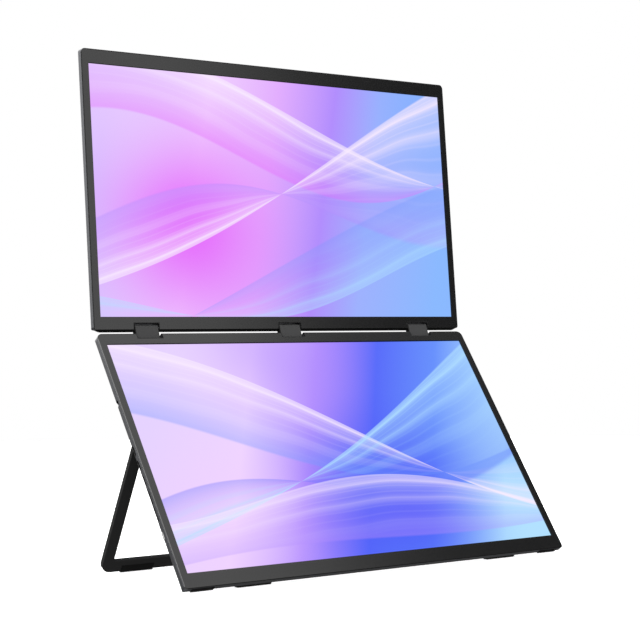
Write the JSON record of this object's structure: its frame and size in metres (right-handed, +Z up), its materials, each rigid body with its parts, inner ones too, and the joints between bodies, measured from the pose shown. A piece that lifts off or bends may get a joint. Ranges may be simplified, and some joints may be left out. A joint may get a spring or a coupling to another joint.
{
  "type": "laptop screen extender",
  "caption": "Stacked pair of portable displays on a two-axis hinge, with a fold-out U-shaped stand behind the lower screen and ports along its left side.",
  "frame": {"origin": "middle of the footprint, on the surface that the soles and the stand's pads rest on", "axes": "+X to the right as the user sees the screens, +Y away from the user, +Z up"},
  "size_m": [0.3568, 0.1524, 0.3969],
  "materials": {
    "bezel": "satin dark grey moulded frame",
    "cover_metal": "fine-blasted dark grey anodised aluminium",
    "rear_plastic": "fine-textured dark grey moulding",
    "screen_glass": "lit display behind anti-glare glass, abstract wallpaper in lilac, violet and blue",
    "backlight_white": "white light guide in a tray",
    "screw_steel": "blackened or plain steel",
    "chip_black": "moulded package",
    "board_green": "solder-masked circuit board",
    "port_metal": "plated steel shell",
    "port_plastic": "black moulding",
    "light_lens": "clear light pipe",
    "button_metal": "bright anodised cap",
    "speaker_black": "black speaker box",
    "pin_steel": "plain steel",
    "link_metal": "dark grey anodised link",
    "stand_metal": "matt black coated aluminium plate",
    "rim_plastic": "matt black moulded strip",
    "foot_rubber": "hard black rubber",
    "pad_rubber": "soft black rubber"
  },
  "bodies": {
    "lower_display": {"lower_front_bezel": "bezel", "lower_lcd_glass": "screen_glass", "lower_backlight": "backlight_white", "lower_back_cover": "cover_metal", "electronics_cover": "rear_plastic", "electronics_cover_screws": "screw_steel", "main_board": "board_green", "main_board_chips": "chip_black", "main_board_screws": "screw_steel", "port_board": "board_green", "port_board_screws": "screw_steel", "usb_c_shells": "port_metal", "usb_c_tongues": "port_plastic", "mini_hdmi_shells": "port_metal", "mini_hdmi_tongues": "port_plastic", "audio_jack": "port_plastic", "status_light": "light_lens", "power_switch": "port_metal", "speaker_left": "speaker_black", "speaker_right": "speaker_black", "lower_hinge_pins": "pin_steel", "lower_hinge_plates": "pin_steel", "lower_hinge_screws": "screw_steel", "front_foot_left": "pad_rubber", "front_foot_right": "pad_rubber", "rear_foot_left": "foot_rubber", "rear_foot_right": "foot_rubber", "stand_pivot_pins": "pin_steel"},
    "power_button": {"power_button": "button_metal"},
    "hinge_links": {"hinge_link_left": "link_metal", "hinge_link_centre": "link_metal", "hinge_link_right": "link_metal"},
    "upper_display": {"upper_front_bezel": "bezel", "upper_lcd_glass": "screen_glass", "upper_backlight": "backlight_white", "upper_back_cover": "cover_metal", "upper_driver_board": "board_green", "upper_driver_chips": "chip_black", "upper_board_screws": "screw_steel", "upper_hinge_pins": "pin_steel", "upper_hinge_plates": "pin_steel", "upper_hinge_screws": "screw_steel", "upper_hinge_rim": "rim_plastic"},
    "stand": {"stand_frame": "stand_metal", "stand_pad_left": "pad_rubber", "stand_pad_right": "pad_rubber"}
  },
  "joints": [
    {"name": "lower_hinge", "type": "hinge", "parent": "lower_display", "child": "hinge_links", "pos_m": [0, 0.05153, 0.17601], "axis": [1, 0, 0], "range_deg": [-60.3, 74.7]},
    {"name": "upper_hinge", "type": "hinge", "parent": "hinge_links", "child": "upper_display", "pos_m": [0, 0.05454, 0.18419], "axis": [1, 0, 0], "range_deg": [-60.3, 74.7]},
    {"name": "stand_hinge", "type": "hinge", "parent": "lower_display", "child": "stand", "pos_m": [0, 0.00119, 0.09652], "axis": [1, 0, 0], "range_deg": [-63.83, 26.17]},
    {"name": "power_button_press", "type": "slide", "parent": "lower_display", "child": "power_button", "axis": [1, 0, 0], "range_m": [0, 0.0005], "stiffness_N_per_m": 400, "springref_m": -0.0005}
  ],
  "couplings": [
    {"joint": "upper_hinge", "follows": "lower_hinge", "ratio": 1}
  ]
}
